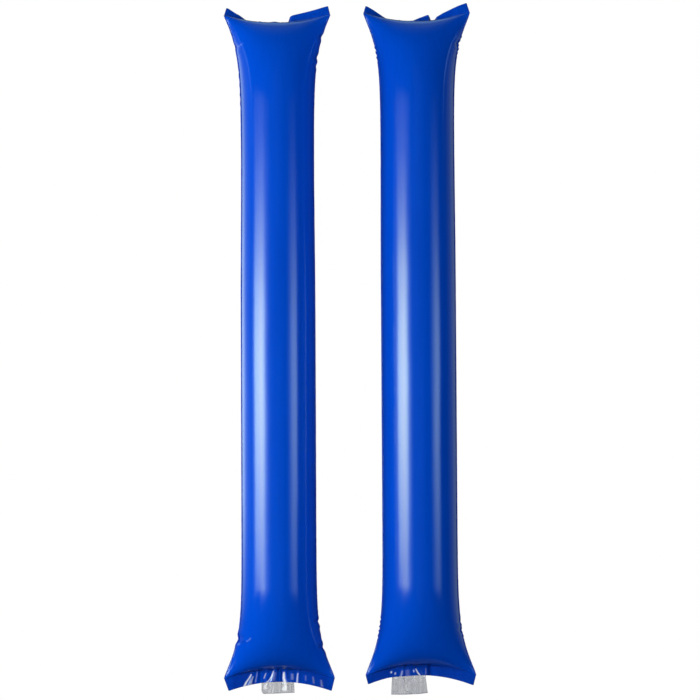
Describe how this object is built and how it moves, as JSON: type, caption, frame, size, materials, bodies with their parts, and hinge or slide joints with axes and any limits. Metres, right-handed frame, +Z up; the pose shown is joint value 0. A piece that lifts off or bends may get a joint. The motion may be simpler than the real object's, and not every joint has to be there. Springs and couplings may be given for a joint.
{
  "type": "inflatable cheering sticks",
  "caption": "Pair of inflated film cheering sticks, struck together to make noise: long round tubes with flared, flat-welded ends and a clear self-sealing film valve.",
  "frame": {"origin": "on the floor under the centre of the pair, as it lies on its back panels", "axes": "+Y along the sticks from the valve end to the plain end, +Z up through the front panels, +X from the left stick to the right one"},
  "size_m": [0.2168, 0.5962, 0.0619],
  "materials": {
    "panel_film": "glossy opaque blue polyethylene film",
    "valve_film": "glossy clear film"
  },
  "bodies": {
    "left_stick": {"left_front_panel": "panel_film", "left_back_panel": "panel_film", "left_valve_front_tail": "valve_film", "left_valve_back_tail": "valve_film"},
    "right_stick": {"right_front_panel": "panel_film", "right_back_panel": "panel_film", "right_valve_front_tail": "valve_film", "right_valve_back_tail": "valve_film"},
    "left_valve_tab": {"left_valve_back_lip": "valve_film"},
    "left_valve_mouth": {"left_valve_front_lip": "valve_film"},
    "right_valve_tab": {"right_valve_back_lip": "valve_film"},
    "right_valve_mouth": {"right_valve_front_lip": "valve_film"}
  },
  "joints": [
    {"name": "stick_swing", "type": "hinge", "parent": "left_stick", "child": "right_stick", "pos_m": [0.0611, -0.273, 0.03096], "axis": [0, 0, 1], "range_deg": [-80, 2.3]},
    {"name": "left_valve_tab_flex", "type": "hinge", "parent": "left_stick", "child": "left_valve_tab", "pos_m": [-0.06173, -0.2867, 0.03096], "axis": [1, 0.0035, 0], "range_deg": [-70, 70], "stiffness_Nm_per_rad": 0.00006},
    {"name": "left_valve_mouth_open", "type": "hinge", "parent": "left_valve_tab", "child": "left_valve_mouth", "pos_m": [-0.06173, -0.2867, 0.03096], "axis": [-1, -0.0035, 0], "range_deg": [0, 50], "stiffness_Nm_per_rad": 0.00003},
    {"name": "right_valve_tab_flex", "type": "hinge", "parent": "right_stick", "child": "right_valve_tab", "pos_m": [0.05216, -0.28198, 0.03096], "axis": [1, 0.0066, 0], "range_deg": [-70, 70], "stiffness_Nm_per_rad": 0.00006},
    {"name": "right_valve_mouth_open", "type": "hinge", "parent": "right_valve_tab", "child": "right_valve_mouth", "pos_m": [0.05216, -0.28198, 0.03096], "axis": [-1, -0.0066, 0], "range_deg": [0, 50], "stiffness_Nm_per_rad": 0.00003}
  ]
}
